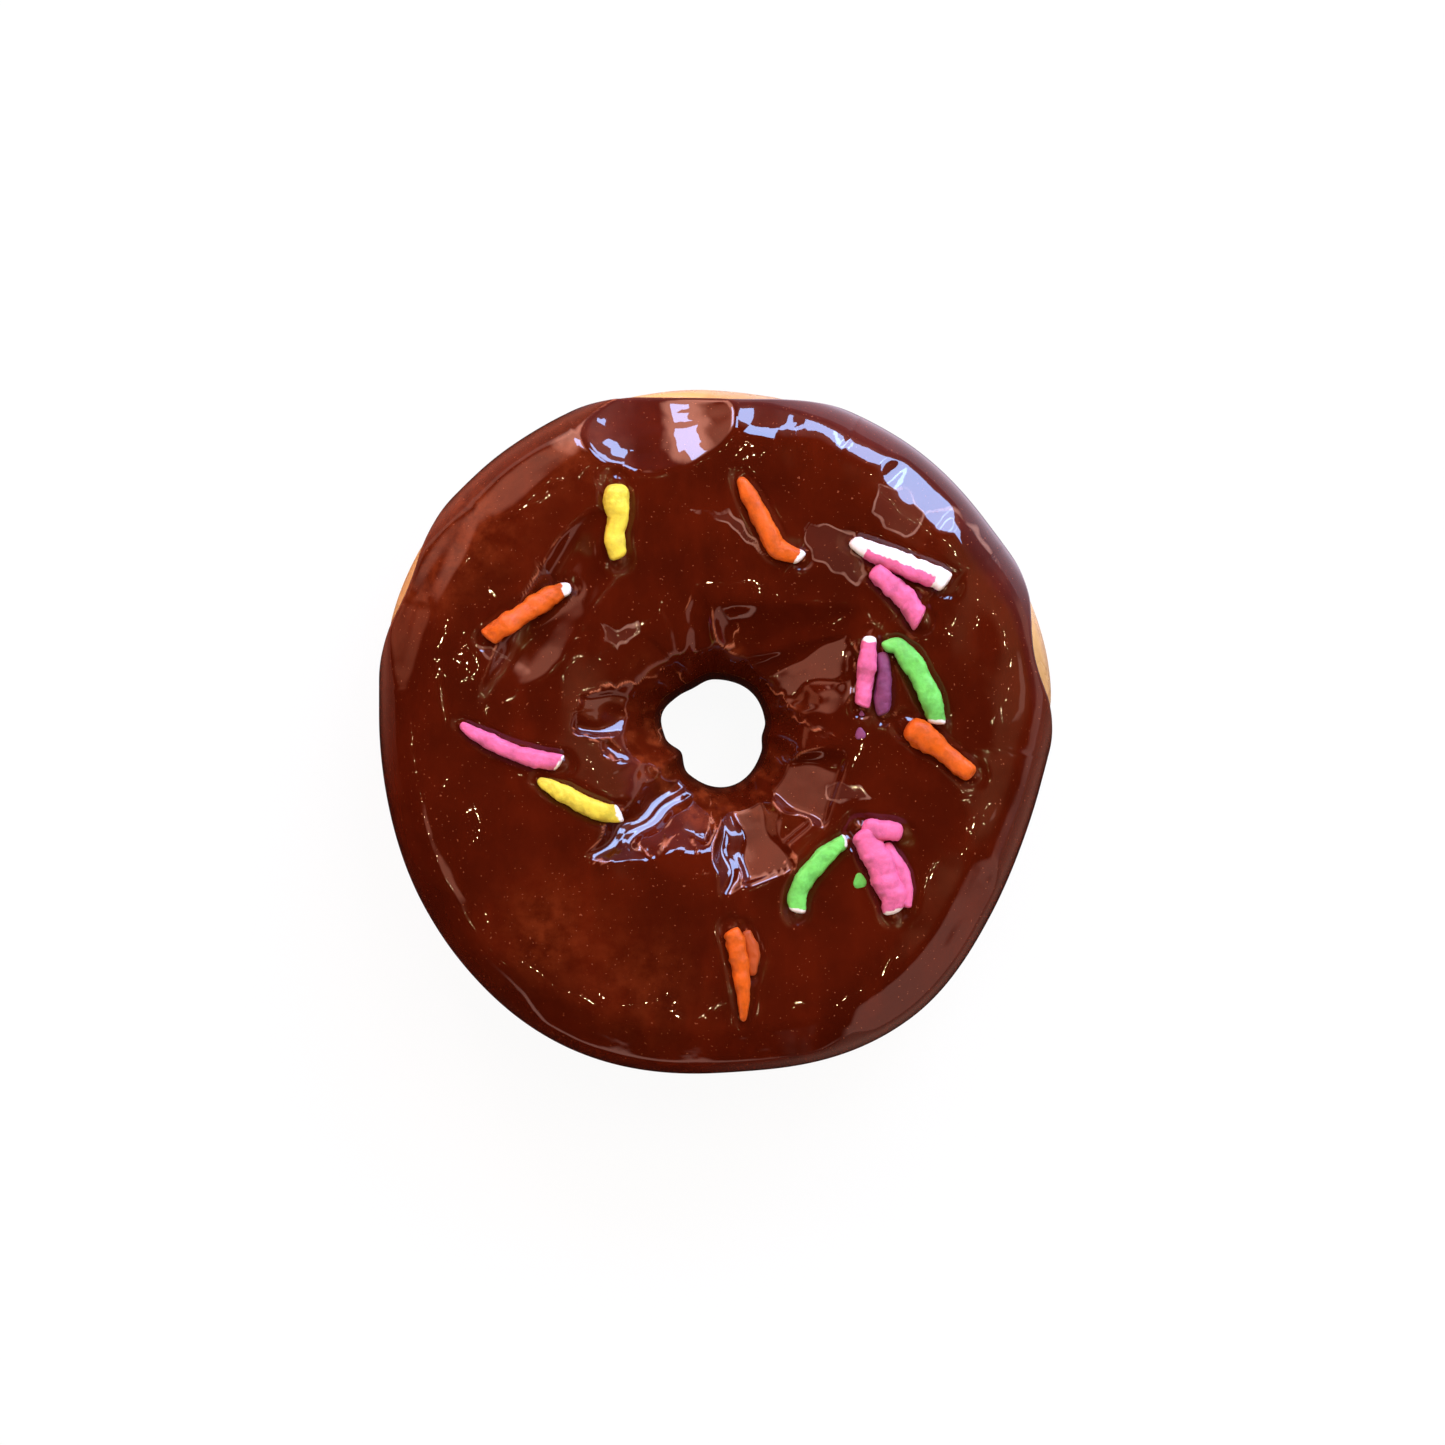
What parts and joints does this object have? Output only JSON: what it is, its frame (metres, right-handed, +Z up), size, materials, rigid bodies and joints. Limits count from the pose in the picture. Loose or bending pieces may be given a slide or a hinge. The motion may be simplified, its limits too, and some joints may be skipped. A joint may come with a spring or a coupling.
{
  "type": "ceramic ring doughnut",
  "caption": "Glazed ceramic copy of a ring doughnut: a golden dough ring under a thin chocolate frosting, pleated into the hole and strewn with hand-rolled sprinkles.",
  "frame": {"origin": "on the base, under the middle of the ring's outline", "axes": "+Z up along the hole, +Y towards the side that carries the bent orange sprinkle, +X towards the bare side with the paired sprinkles"},
  "size_m": [0.101, 0.1026, 0.0329],
  "materials": {
    "dough": "gloss",
    "frosting": "gloss"
  },
  "bodies": {
    "root": {"dough_ring": "dough", "frosting": "frosting"}
  },
  "joints": []
}
